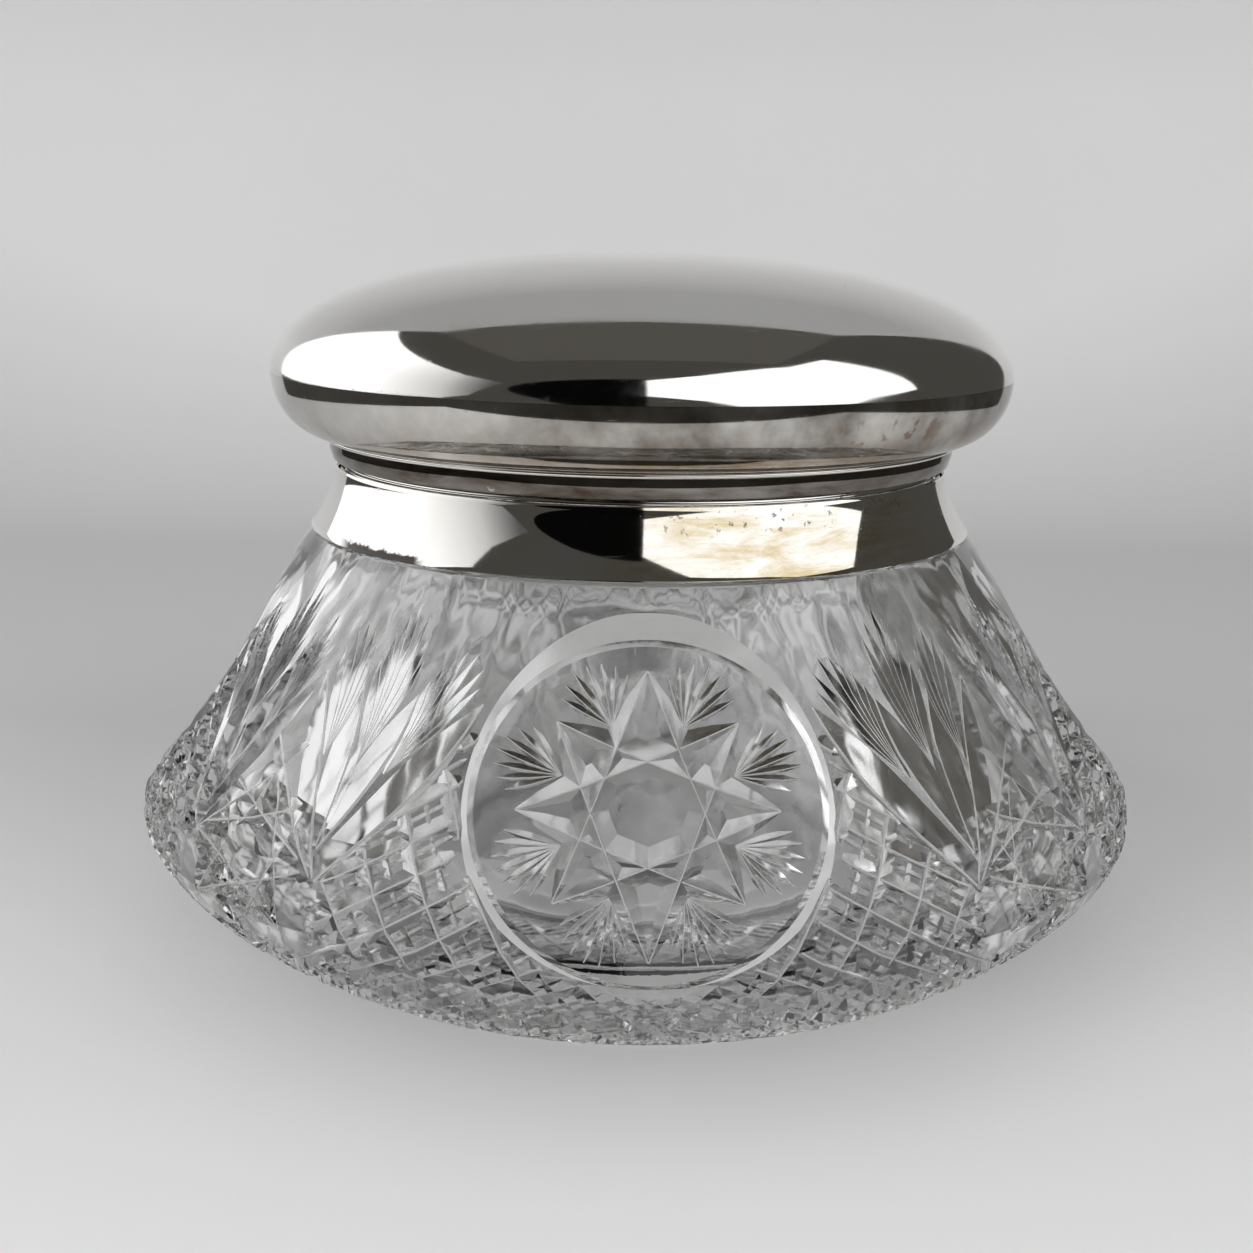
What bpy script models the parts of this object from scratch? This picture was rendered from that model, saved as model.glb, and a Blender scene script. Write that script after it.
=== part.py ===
"""Silver-topped cut-glass powder jar for a dressing table.

A squat cone-shaped crystal bowl carries a plain silver collar, bedded in plaster on the glass neck.
A hollow cushion-shaped silver lid lifts straight off: a plug under the lid drops into the collar.

Frame: origin at the centre of the foot, +Z up the axis of the jar, one round medallion facing -Y.
All lengths are in metres.
"""

import bpy
import bmesh
import math
from mathutils import Matrix
from mathutils import Vector

STEPS = 64
GAP = 0.0003

# Crystal bowl, outer side
FOOT_RADIUS = 0.0440
BELLY_RADIUS = 0.0714
BELLY_HEIGHT = 0.0199
UNDERCUT_POWER = 1.45
BELLY_ARC = 0.0178
CONE_ANGLE = math.radians(36.3)
SHOULDER_HEIGHT = 0.0591

# Crystal bowl, neck and inner side
NECK_RADIUS = 0.0424
NECK_TOP = 0.0676
MOUTH_RADIUS = 0.0386
WALL = 0.0090
FLOOR_HEIGHT = 0.0095
FLOOR_RADIUS = 0.0450
HOLLOW_BELLY_RADIUS = 0.0600
HOLLOW_BELLY_HEIGHT = 0.0220

# Round medallions, each a flat disc sunk into the cone
MEDALLIONS = 4
MEDALLION_TURN = 0.0
MEDALLION_TILT = math.radians(34.5)
MEDALLION_REACH = 0.0590
MEDALLION_HEIGHT = 0.0354
MEDALLION_RADIUS = 0.0206
MEDALLION_FLARE = 0.0230
STAR_POINTS = 8
STAR_REACH = 0.0170
STAR_CUT_WIDTH = 0.0034
STAR_CUT_DEPTH = 0.0013
HOB_RADIUS = 0.0052

# Star ground into the underside of the foot
FOOT_HOLLOW_RADIUS = 0.0370
FOOT_HOLLOW_DEPTH = 0.0012

# Silver collar and its seat ring
SHEET = 0.0007
COLLAR_BOTTOM = 0.0596
COLLAR_TOP = 0.0682
COLLAR_FOOT_RADIUS = 0.0469
COLLAR_NECK_RADIUS = 0.0434
COLLAR_FLARE_POWER = 1.6
SEAT_TOP = 0.0688
SEAT_OUTER_RADIUS = 0.0424
SEAT_LIP_RADIUS = 0.0383
SEAT_LIP_BOTTOM = 0.0630

# Silver lid
LID_RADIUS = 0.0520
LID_EQUATOR = 0.0812
LID_TOP = 0.0974
DOME_POWER = 2.2
LID_SHEET = 0.0008
BAND_RADIUS = 0.0442
BAND_BOTTOM_RADIUS = 0.0437
BAND_BOTTOM = 0.06905
UNDERSIDE_BOTTOM = 0.0725
UNDERSIDE_INNER_RADIUS = 0.0428
FILLET_WIRE = 0.00035
PLUG_RADIUS = 0.0374
PLUG_BOTTOM = 0.0620
PLUG_FLANGE_BOTTOM = 0.0691


def clear_scene():
    for thing in list(bpy.data.objects):
        bpy.data.objects.remove(thing, do_unlink=True)


def make_collection(name):
    group = bpy.data.collections.new(name)
    bpy.context.scene.collection.children.link(group)
    return group


def make_material(name, colour, metallic, roughness):
    material = bpy.data.materials.new(name)
    material.use_nodes = True
    shader = material.node_tree.nodes["Principled BSDF"]
    shader.inputs["Base Color"].default_value = (colour[0], colour[1], colour[2], 1.0)
    shader.inputs["Metallic"].default_value = metallic
    shader.inputs["Roughness"].default_value = roughness
    material.diffuse_color = (colour[0], colour[1], colour[2], 1.0)
    return material


def glass_material():
    material = make_material("lead_crystal", (0.92, 0.94, 0.94), 0.0, 0.02)
    shader = material.node_tree.nodes["Principled BSDF"]
    shader.inputs["Transmission Weight"].default_value = 1.0
    shader.inputs["IOR"].default_value = 1.55
    return material


def turned_object(name, group, points, material, closed=True):
    """Turns a profile of (radius, height) pairs around the jar's axis."""
    mesh = bpy.data.meshes.new(name)
    thing = bpy.data.objects.new(name, mesh)
    group.objects.link(thing)
    shape = bmesh.new()
    corners = [shape.verts.new((radius, 0.0, height)) for radius, height in points]
    for first, second in zip(corners, corners[1:]):
        shape.edges.new((first, second))
    if closed:
        shape.edges.new((corners[-1], corners[0]))
    shape.to_mesh(mesh)
    shape.free()
    screw = thing.modifiers.new("turn", "SCREW")
    screw.axis = "Z"
    screw.angle = math.tau
    screw.steps = STEPS
    screw.render_steps = STEPS
    screw.use_merge_vertices = True
    screw.merge_threshold = 0.00005
    screw.use_normal_calculate = closed
    mesh.materials.append(material)
    return thing


def apply_modifiers(thing):
    graph = bpy.context.evaluated_depsgraph_get()
    finished = bpy.data.meshes.new_from_object(thing.evaluated_get(graph))
    thing.modifiers.clear()
    thing.data = finished


def face_outward(thing):
    """Points every face of a finished closed mesh outward."""
    shape = bmesh.new()
    shape.from_mesh(thing.data)
    bmesh.ops.recalc_face_normals(shape, faces=shape.faces)
    shape.to_mesh(thing.data)
    shape.free()


def smooth_round(thing, degrees=35.0):
    thing.data.shade_smooth()
    thing.data.set_sharp_from_angle(angle=math.radians(degrees))


def move_origin(thing, height):
    """Puts the origin on the jar's axis at a height, leaving the shape where it is."""
    thing.data.transform(Matrix.Translation((0.0, 0.0, -height)))
    thing.location = (0.0, 0.0, height)


def undercut_points(count):
    """Superelliptic curve from the foot out to the belly, listed from the belly down."""
    points = []
    for index in range(count + 1):
        angle = math.pi / 2.0 * index / count
        across = math.cos(angle) ** (2.0 / UNDERCUT_POWER)
        down = math.sin(angle) ** (2.0 / UNDERCUT_POWER)
        radius = FOOT_RADIUS + (BELLY_RADIUS - FOOT_RADIUS) * across
        points.append((radius, BELLY_HEIGHT * (1.0 - down)))
    return points


def belly_points(count):
    """Arc from the cone down to the belly, without its last point."""
    points = []
    for index in range(count):
        angle = CONE_ANGLE * (1.0 - index / count)
        radius = BELLY_RADIUS - BELLY_ARC * (1.0 - math.cos(angle))
        points.append((radius, BELLY_HEIGHT + BELLY_ARC * math.sin(angle)))
    return points


def cone_radius(height):
    """Radius of the straight cone above the belly arc."""
    start_radius = BELLY_RADIUS - BELLY_ARC * (1.0 - math.cos(CONE_ANGLE))
    start_height = BELLY_HEIGHT + BELLY_ARC * math.sin(CONE_ANGLE)
    return start_radius - (height - start_height) * math.tan(CONE_ANGLE)


def hollow_points():
    """Inner side of the bowl, from the mouth down to the floor's centre line."""
    slope = math.tan(CONE_ANGLE)
    offset = WALL / math.cos(CONE_ANGLE)
    top = SHOULDER_HEIGHT - (MOUTH_RADIUS + offset - cone_radius(SHOULDER_HEIGHT)) / slope
    start = top - 0.0030
    bend = HOLLOW_BELLY_HEIGHT + 0.0100
    points = [(MOUTH_RADIUS, top + 0.0015)]
    for index in range(4):
        height = start + (bend - start) * index / 3
        points.append((cone_radius(height) - offset, height))
    points.append((HOLLOW_BELLY_RADIUS - 0.0012, HOLLOW_BELLY_HEIGHT + 0.0048))
    steps = 6
    for index in range(steps + 1):
        angle = math.pi / 2.0 * index / steps
        radius = FLOOR_RADIUS + (HOLLOW_BELLY_RADIUS - FLOOR_RADIUS) * math.cos(angle)
        drop = (HOLLOW_BELLY_HEIGHT - FLOOR_HEIGHT) * math.sin(angle)
        points.append((radius, HOLLOW_BELLY_HEIGHT - drop))
    points.append((FLOOR_RADIUS * 0.5, FLOOR_HEIGHT - 0.0004))
    return points


def bowl_profile():
    shoulder_radius = cone_radius(SHOULDER_HEIGHT)
    points = [(NECK_RADIUS, SHOULDER_HEIGHT + 0.0002)]
    points.append((shoulder_radius - 0.0004, SHOULDER_HEIGHT + 0.0002))
    points.append((shoulder_radius, SHOULDER_HEIGHT - 0.0002))
    points.append((cone_radius(0.0455), 0.0455))
    points += belly_points(4)
    points += undercut_points(7)
    points.append((FOOT_HOLLOW_RADIUS, 0.0))
    points.append((FOOT_HOLLOW_RADIUS - 0.0025, FOOT_HOLLOW_DEPTH))
    outer = [(MOUTH_RADIUS + 0.0006, NECK_TOP), (NECK_RADIUS - 0.0008, NECK_TOP), (NECK_RADIUS, NECK_TOP - 0.0008)]
    axis_top = [(0.0, FLOOR_HEIGHT - 0.0005)]
    axis_bottom = [(0.0, FOOT_HOLLOW_DEPTH)]
    inner = list(reversed(hollow_points()))
    inner.append((MOUTH_RADIUS, NECK_TOP - 0.0006))
    return axis_top + inner + outer + points + axis_bottom


def medallion_frame(index):
    """Centre and axes of one medallion's flat disc; the third axis points out of the glass."""
    turn = MEDALLION_TURN + math.tau * index / MEDALLIONS
    outward = Vector((math.sin(turn) * math.cos(MEDALLION_TILT), -math.cos(turn) * math.cos(MEDALLION_TILT), 0.0))
    outward.z = math.sin(MEDALLION_TILT)
    across = Vector((math.cos(turn), math.sin(turn), 0.0))
    upward = outward.cross(across)
    centre = Vector((math.sin(turn) * MEDALLION_REACH, -math.cos(turn) * MEDALLION_REACH, MEDALLION_HEIGHT))
    frame = Matrix((across, upward, outward)).transposed().to_4x4()
    frame.translation = centre
    return frame


def as_cutter(thing):
    thing.hide_render = True
    thing.display_type = "WIRE"
    return thing


def medallion_cutter(index, group):
    """Shallow flared drum that sinks one medallion into the cone."""
    depth = 0.0120
    mesh = bpy.data.meshes.new(f"medallion_drum_{index}")
    shape = bmesh.new()
    flare = MEDALLION_RADIUS + (MEDALLION_FLARE - MEDALLION_RADIUS) * depth / 0.0050
    move = Matrix.Translation((0.0, 0.0, depth / 2.0))
    bmesh.ops.create_cone(
        shape, cap_ends=True, segments=STEPS, radius1=MEDALLION_RADIUS, radius2=flare, depth=depth, matrix=move
    )
    shape.to_mesh(mesh)
    shape.free()
    drum = bpy.data.objects.new(mesh.name, mesh)
    drum.matrix_world = medallion_frame(index)
    group.objects.link(drum)
    return as_cutter(drum)


def star_blade_mesh():
    """Mitre cut of the eight-pointed star: a long ridge with a pointed end on each side."""
    mesh = bpy.data.meshes.new("star_blade")
    shape = bmesh.new()
    start = HOB_RADIUS
    widest = start + (STAR_REACH - start) * 0.28
    rows = []
    for reach, half in ((start, 0.0009), (widest, STAR_CUT_WIDTH / 2.0), (STAR_REACH, 0.0002)):
        depth = STAR_CUT_DEPTH * half / (STAR_CUT_WIDTH / 2.0)
        rows.append((reach, half, depth))
    rings = []
    for reach, half, depth in rows:
        left = shape.verts.new((-half, reach, 0.0008))
        low = shape.verts.new((0.0, reach, -depth))
        right = shape.verts.new((half, reach, 0.0008))
        rings.append((left, low, right))
    for near, far in zip(rings, rings[1:]):
        shape.faces.new((near[0], near[1], far[1], far[0]))
        shape.faces.new((near[1], near[2], far[2], far[1]))
        shape.faces.new((near[2], near[0], far[0], far[2]))
    shape.faces.new((rings[0][0], rings[0][2], rings[0][1]))
    shape.faces.new((rings[-1][0], rings[-1][1], rings[-1][2]))
    bmesh.ops.recalc_face_normals(shape, faces=shape.faces)
    shape.to_mesh(mesh)
    shape.free()
    return mesh


def star_cutters(index, blade, group):
    cutters = []
    for point in range(STAR_POINTS):
        cutter = bpy.data.objects.new(f"star_blade_{index}_{point}", blade)
        spin = Matrix.Rotation(math.tau * point / STAR_POINTS, 4, "Z")
        cutter.matrix_world = medallion_frame(index) @ spin
        group.objects.link(cutter)
        cutters.append(as_cutter(cutter))
    return cutters


def cut(thing, cutters):
    for index, cutter in enumerate(cutters):
        modifier = thing.modifiers.new(f"cut_{index}", "BOOLEAN")
        modifier.operation = "DIFFERENCE"
        modifier.solver = "EXACT"
        modifier.object = cutter


def build_glass_bowl(group, cutter_group, material):
    bowl = turned_object("glass_bowl", group, bowl_profile(), material)
    apply_modifiers(bowl)
    face_outward(bowl)
    blade = star_blade_mesh()
    cutters = []
    for index in range(MEDALLIONS):
        cutters.append(medallion_cutter(index, cutter_group))
        cutters += star_cutters(index, blade, cutter_group)
    bpy.context.view_layer.update()
    cut(bowl, cutters)
    apply_modifiers(bowl)
    smooth_round(bowl, 28.0)
    return bowl


def collar_radius(height):
    """Outer radius of the hollow-curved collar at a height."""
    share = (height - COLLAR_BOTTOM) / (COLLAR_TOP - COLLAR_BOTTOM)
    spread = COLLAR_FOOT_RADIUS - COLLAR_NECK_RADIUS
    return COLLAR_NECK_RADIUS + spread * (1.0 - share) ** COLLAR_FLARE_POWER


def build_collar_band(group, material):
    outer = []
    inner = []
    for index in range(7):
        height = COLLAR_TOP + (COLLAR_BOTTOM - COLLAR_TOP) * index / 6
        outer.append((collar_radius(height), height))
        inner.append((collar_radius(height) - SHEET, height))
    band = turned_object("collar_band", group, outer + list(reversed(inner)), material)
    apply_modifiers(band)
    face_outward(band)
    smooth_round(band)
    return band


def build_plaster_bed(group, material):
    low = COLLAR_BOTTOM + 0.0004
    high = COLLAR_TOP - SHEET - 0.0004
    outer = []
    for index in range(5):
        height = high + (low - high) * index / 4
        outer.append((collar_radius(height) - SHEET - GAP, height))
    inner_radius = NECK_RADIUS + GAP
    points = outer + [(inner_radius, low), (inner_radius, NECK_TOP - 0.0010)]
    points = [(radius, height) for radius, height in points if radius > NECK_RADIUS + 0.00029]
    points.append((inner_radius, high))
    bed = turned_object("plaster_bed", group, points, material)
    apply_modifiers(bed)
    face_outward(bed)
    smooth_round(bed)
    return bed


def build_collar_rim(group, material):
    lip_inner = SEAT_LIP_RADIUS - 0.0006
    points = [
        (lip_inner + 0.0004, SEAT_TOP),
        (SEAT_OUTER_RADIUS - 0.0002, SEAT_TOP),
        (SEAT_OUTER_RADIUS, SEAT_TOP - 0.0002),
        (SEAT_OUTER_RADIUS, SEAT_TOP - SHEET),
        (SEAT_LIP_RADIUS, SEAT_TOP - SHEET),
        (SEAT_LIP_RADIUS, SEAT_LIP_BOTTOM),
        (lip_inner, SEAT_LIP_BOTTOM),
        (lip_inner, SEAT_TOP - 0.0004),
    ]
    rim = turned_object("collar_rim", group, points, material)
    apply_modifiers(rim)
    face_outward(rim)
    smooth_round(rim)
    return rim


def dome_point(angle):
    """Point of the lid's upper side; the angle runs from 0 at the top to a quarter turn at the equator."""
    across = math.sin(angle) ** (2.0 / DOME_POWER)
    height = math.cos(angle) ** (2.0 / DOME_POWER)
    return LID_RADIUS * across, LID_EQUATOR + GAP / 2.0 + (LID_TOP - LID_EQUATOR - GAP / 2.0) * height


def build_lid_dome(group, material):
    """Raised upper shell: an open curved surface given its thickness inward."""
    count = 12
    points = [(0.0, LID_TOP)]
    for index in range(1, count + 1):
        angle = math.pi / 2.0 * index / count
        radius, height = dome_point(angle)
        points.append((radius, height))
    dome = turned_object("lid_dome", group, points, material, closed=False)
    shell = dome.modifiers.new("sheet", "SOLIDIFY")
    shell.thickness = LID_SHEET
    shell.offset = -1.0
    shell.use_even_offset = True
    apply_modifiers(dome)
    face_outward(dome)
    smooth_round(dome)
    move_origin(dome, BAND_BOTTOM)
    return dome


def underside_point(angle):
    """Point of the lid's lower side; 0 at the equator and a quarter turn at the band."""
    spread = LID_RADIUS - BAND_RADIUS
    drop = LID_EQUATOR - UNDERSIDE_BOTTOM - GAP / 2.0
    return BAND_RADIUS + spread * math.cos(angle), LID_EQUATOR - GAP / 2.0 - drop * math.sin(angle)


def build_lid_underside(group, material):
    """Turned-under lower shell from the equator in to the band."""
    count = 7
    outer = [underside_point(math.pi / 2.0 * index / count) for index in range(count + 1)]
    outer.append((UNDERSIDE_INNER_RADIUS, UNDERSIDE_BOTTOM))
    inner = [(UNDERSIDE_INNER_RADIUS, UNDERSIDE_BOTTOM + LID_SHEET)]
    for index in range(count, -1, -1):
        angle = math.pi / 2.0 * index / count
        radius, height = underside_point(angle)
        inner.append((radius - LID_SHEET * math.cos(angle), height + LID_SHEET * math.sin(angle)))
    underside = turned_object("lid_underside", group, outer + inner, material)
    apply_modifiers(underside)
    face_outward(underside)
    smooth_round(underside)
    move_origin(underside, BAND_BOTTOM)
    return underside


def build_lid_band(group, material):
    top = UNDERSIDE_BOTTOM - GAP
    points = [
        (BAND_RADIUS, top),
        (BAND_RADIUS, BAND_BOTTOM + 0.0016),
        (BAND_BOTTOM_RADIUS + 0.0001, BAND_BOTTOM + 0.0004),
        (BAND_BOTTOM_RADIUS - 0.0002, BAND_BOTTOM),
        (BAND_BOTTOM_RADIUS - 0.0004, BAND_BOTTOM),
        (BAND_BOTTOM_RADIUS - 0.0006, BAND_BOTTOM + 0.0004),
        (BAND_RADIUS - 0.0008, BAND_BOTTOM + 0.0016),
        (BAND_RADIUS - 0.0008, top),
    ]
    band = turned_object("lid_band", group, points, material)
    apply_modifiers(band)
    face_outward(band)
    smooth_round(band)
    move_origin(band, BAND_BOTTOM)
    return band


def build_lid_fillet(group, material):
    """Thin solder wire in the angle between the underside and the band."""
    centre_radius = BAND_RADIUS + GAP + FILLET_WIRE
    centre_height = UNDERSIDE_BOTTOM - GAP - FILLET_WIRE
    bpy.ops.mesh.primitive_torus_add(
        major_segments=STEPS, minor_segments=6, major_radius=centre_radius, minor_radius=FILLET_WIRE
    )
    wire = bpy.context.object
    wire.name = "lid_fillet"
    wire.data.name = "lid_fillet"
    for holder in list(wire.users_collection):
        holder.objects.unlink(wire)
    group.objects.link(wire)
    wire.data.transform(Matrix.Translation((0.0, 0.0, centre_height)))
    wire.data.materials.append(material)
    smooth_round(wire, 80.0)
    move_origin(wire, BAND_BOTTOM)
    return wire


def build_lid_bezel(group, material):
    """Flange inside the band with the plug that drops into the collar."""
    inner = PLUG_RADIUS - SHEET
    flange_outer = BAND_BOTTOM_RADIUS - 0.0006 - GAP
    flange_top = PLUG_FLANGE_BOTTOM + SHEET
    points = [
        (inner + 0.0005, flange_top),
        (flange_outer, flange_top),
        (flange_outer, PLUG_FLANGE_BOTTOM),
        (PLUG_RADIUS, PLUG_FLANGE_BOTTOM),
        (PLUG_RADIUS, PLUG_BOTTOM + 0.0003),
        (PLUG_RADIUS - 0.0002, PLUG_BOTTOM),
        (inner + 0.0002, PLUG_BOTTOM),
        (inner, PLUG_BOTTOM + 0.0003),
        (inner, flange_top - 0.0005),
    ]
    bezel = turned_object("lid_bezel", group, points, material)
    apply_modifiers(bezel)
    face_outward(bezel)
    smooth_round(bezel)
    move_origin(bezel, BAND_BOTTOM)
    return bezel


def add_empty(name, group, height):
    empty = bpy.data.objects.new(name, None)
    empty.location = (0.0, 0.0, height)
    empty.empty_display_size = 0.02
    group.objects.link(empty)
    return empty


def parent_keeping_place(child, parent):
    child.parent = parent
    child.matrix_parent_inverse = Matrix.Translation(parent.location).inverted()


def build():
    clear_scene()
    jar = make_collection("powder_jar")
    cutters = make_collection("powder_jar_cutters")
    crystal = glass_material()
    plaster = make_material("plaster", (0.86, 0.84, 0.79), 0.0, 0.85)
    collar_silver = make_material("silver_collar", (0.91, 0.89, 0.85), 1.0, 0.07)
    seat_silver = make_material("silver_seat", (0.88, 0.86, 0.82), 1.0, 0.18)
    dome_silver = make_material("silver_dome", (0.93, 0.92, 0.90), 1.0, 0.06)
    under_silver = make_material("silver_underside", (0.89, 0.86, 0.81), 1.0, 0.09)
    band_silver = make_material("silver_band", (0.85, 0.80, 0.73), 1.0, 0.10)
    solder = make_material("silver_solder", (0.84, 0.82, 0.78), 1.0, 0.15)
    gilt = make_material("silver_gilt", (0.93, 0.86, 0.70), 1.0, 0.16)
    bowl_pieces = [
        build_glass_bowl(jar, cutters, crystal),
        build_plaster_bed(jar, plaster),
        build_collar_band(jar, collar_silver),
        build_collar_rim(jar, seat_silver),
    ]
    lid_pieces = [
        build_lid_dome(jar, dome_silver),
        build_lid_underside(jar, under_silver),
        build_lid_band(jar, band_silver),
        build_lid_fillet(jar, solder),
        build_lid_bezel(jar, gilt),
    ]
    bowl_root = add_empty("jar_root", jar, 0.0)
    lid_root = add_empty("lid_root", jar, BAND_BOTTOM)
    bpy.context.view_layer.update()
    for piece in bowl_pieces:
        parent_keeping_place(piece, bowl_root)
    for piece in lid_pieces:
        parent_keeping_place(piece, lid_root)
    bpy.context.view_layer.update()


build()
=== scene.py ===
"""Powder jar of cut crystal with a silver collar and lid: fine surfaces, looks, light and camera."""

import math

import bmesh
import bpy
from mathutils import Matrix, Vector, noise


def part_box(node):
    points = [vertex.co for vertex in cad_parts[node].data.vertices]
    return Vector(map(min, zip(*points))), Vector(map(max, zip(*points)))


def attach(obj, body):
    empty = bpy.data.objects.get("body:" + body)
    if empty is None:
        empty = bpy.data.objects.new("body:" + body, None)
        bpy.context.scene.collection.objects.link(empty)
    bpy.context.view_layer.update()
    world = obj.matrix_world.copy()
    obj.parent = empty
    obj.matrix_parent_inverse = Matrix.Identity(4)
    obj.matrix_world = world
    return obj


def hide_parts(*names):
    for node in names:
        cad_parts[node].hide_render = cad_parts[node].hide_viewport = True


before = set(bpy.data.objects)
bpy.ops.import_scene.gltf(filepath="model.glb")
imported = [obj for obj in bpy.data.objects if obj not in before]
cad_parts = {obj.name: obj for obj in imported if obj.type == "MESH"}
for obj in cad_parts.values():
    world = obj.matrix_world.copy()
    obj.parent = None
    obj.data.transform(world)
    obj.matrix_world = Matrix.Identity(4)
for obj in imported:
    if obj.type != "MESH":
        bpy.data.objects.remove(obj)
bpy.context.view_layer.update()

COLLAR_LOW, COLLAR_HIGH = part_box("collar_band")
SEAT_LOW, SEAT_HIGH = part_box("collar_rim")
DOME_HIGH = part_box("lid_dome")[1]
BAND_LOW, BAND_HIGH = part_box("lid_band")

# ---------------- dimensions in metres, as in the CAD to within a tenth of a millimetre
FOOT_RADIUS = 0.0440
BELLY_RADIUS = 0.07134
BELLY_HEIGHT = 0.0199
UNDERCUT_POWER = 1.45
BELLY_ARC = 0.0178
CONE_ANGLE = math.radians(36.3)
SHOULDER_HEIGHT = 0.0591
NECK_RADIUS = 0.0424
NECK_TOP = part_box("glass_bowl")[1].z
MOUTH_RADIUS = 0.0386
WALL = 0.0090
FLOOR_HEIGHT = 0.0095
FLOOR_RADIUS = 0.0450
HOLLOW_BELLY_RADIUS = 0.0600
HOLLOW_BELLY_HEIGHT = 0.0220
FOOT_HOLLOW_RADIUS = 0.0370
FOOT_HOLLOW_DEPTH = 0.0012

MEDALLION_TILT = math.radians(34.5)
MEDALLION_REACH = 0.0590
MEDALLION_HEIGHT = 0.0354
MEDALLION_RADIUS = 0.0206

SHEET = 0.0007
COLLAR_BOTTOM = COLLAR_LOW.z
COLLAR_TOP = COLLAR_HIGH.z
COLLAR_FOOT_RADIUS = COLLAR_HIGH.x
COLLAR_NECK_RADIUS = 0.0434
COLLAR_FLARE_POWER = 1.6
SEAT_TOP = SEAT_HIGH.z
SEAT_OUTER_RADIUS = SEAT_HIGH.x
SEAT_LIP_RADIUS = 0.0383
SEAT_LIP_BOTTOM = SEAT_LOW.z

LID_RADIUS = DOME_HIGH.x
LID_EQUATOR = 0.0812
LID_TOP = DOME_HIGH.z
DOME_POWER = 2.2
LID_SHEET = 0.0008
BAND_RADIUS = BAND_HIGH.x
BAND_BOTTOM_RADIUS = 0.0437
BAND_BOTTOM = BAND_LOW.z
UNDERSIDE_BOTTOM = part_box("lid_underside")[0].z
UNDERSIDE_INNER_RADIUS = 0.0428
FILLET_WIRE = 0.00035
PLUG_RADIUS = 0.0374
PLUG_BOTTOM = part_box("lid_bezel")[0].z
PLUG_FLANGE_BOTTOM = 0.0691

# The cut pattern: turns from the front and blade angles in degrees, lengths up the wall in millimetres
SHOULDER_LENGTH = 80.2
LEAF_FOOT = (34.6, 39.6)
LEAF_TIP = (20.0, 64.3)
SAME_TURN = 0.02
DIAMOND_ANGLE = 47.0

# The eighth of the bowl that is cut, and small distances in metres
SECTOR = math.radians(45.0)
SECTOR_STEPS = 28
SLOPE_REACH = 0.0006
WELD = 0.0000012
ON_PLANE = 0.000003

# Finishes of the bowl, in the order of its materials
OUTSIDE = 0
CUT = 1
INSIDE = 2
UNPOLISHED = 3
GROUND = 4

# Blades, in millimetres: the unpolished line they leave, how far they stand proud, and where their tips end
LINE = 0.25
STAR_LINE = 0.16
FINE_LINE = 0.10
PROUD = 0.6
TIP_LIFT = -0.03


# ---------------- small helpers
def new_object(name, data):
    thing = bpy.data.objects.new(name, data)
    bpy.context.scene.collection.objects.link(thing)
    return thing


def shape_mesh(name, shape):
    mesh = bpy.data.meshes.new(name)
    shape.to_mesh(mesh)
    shape.free()
    return mesh


def join_rings(shape, near, far):
    """Faces between two closed rings of points, which may meet in one point."""
    faces = []
    for index in range(len(near)):
        after = (index + 1) % len(near)
        corners = list(dict.fromkeys((near[index], near[after], far[after], far[index])))
        if len(corners) > 2:
            faces.append(shape.faces.new(corners))
    return faces


# ---------------- outer side of the bowl
def belly_curve(count):
    points = []
    for index in range(count + 1):
        angle = CONE_ANGLE * (1.0 - index / count)
        radius = BELLY_RADIUS - BELLY_ARC * (1.0 - math.cos(angle))
        points.append((radius, BELLY_HEIGHT + BELLY_ARC * math.sin(angle)))
    return points


def undercut_curve(count):
    points = []
    for index in range(1, count + 1):
        angle = math.pi / 2.0 * index / count
        across = math.cos(angle) ** (2.0 / UNDERCUT_POWER)
        down = math.sin(angle) ** (2.0 / UNDERCUT_POWER)
        points.append((FOOT_RADIUS + (BELLY_RADIUS - FOOT_RADIUS) * across, BELLY_HEIGHT * (1.0 - down)))
    return points


def cone_radius(height):
    start_radius = BELLY_RADIUS - BELLY_ARC * (1.0 - math.cos(CONE_ANGLE))
    start_height = BELLY_HEIGHT + BELLY_ARC * math.sin(CONE_ANGLE)
    return start_radius - (height - start_height) * math.tan(CONE_ANGLE)


OUTER = [(cone_radius(SHOULDER_HEIGHT), SHOULDER_HEIGHT)] + belly_curve(24) + undercut_curve(40)
OUTER.reverse()
LENGTHS = [0.0]
for near, far in zip(OUTER, OUTER[1:]):
    LENGTHS.append(LENGTHS[-1] + math.hypot(far[0] - near[0], far[1] - near[1]))


def profile_at(length):
    """Radius and height of the outer side at a distance up the wall from the foot."""
    length = min(max(length, 0.0), LENGTHS[-1] - 1e-9)
    index = 0
    while LENGTHS[index + 1] < length:
        index += 1
    share = (length - LENGTHS[index]) / (LENGTHS[index + 1] - LENGTHS[index])
    near, far = OUTER[index], OUTER[index + 1]
    radius = near[0] + (far[0] - near[0]) * share
    height = near[1] + (far[1] - near[1]) * share
    return radius, height


def wall_point(turn, length):
    """Point and outward normal of the wall; turn in degrees from the front.

    Length is in millimetres up the wall, on a scale that reads SHOULDER_LENGTH at the shoulder.
    """
    angle = math.radians(turn)
    distance = LENGTHS[-1] + (length - SHOULDER_LENGTH) * 0.001
    radius, height = profile_at(distance)
    low = profile_at(distance - SLOPE_REACH)
    high = profile_at(distance + SLOPE_REACH)
    run = Vector((high[0] - low[0], high[1] - low[1])).normalized()
    radial = Vector((math.sin(angle), -math.cos(angle), 0.0))
    normal = radial * run.y + Vector((0.0, 0.0, -run.x))
    return radial * radius + Vector((0.0, 0.0, height)), normal


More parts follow.
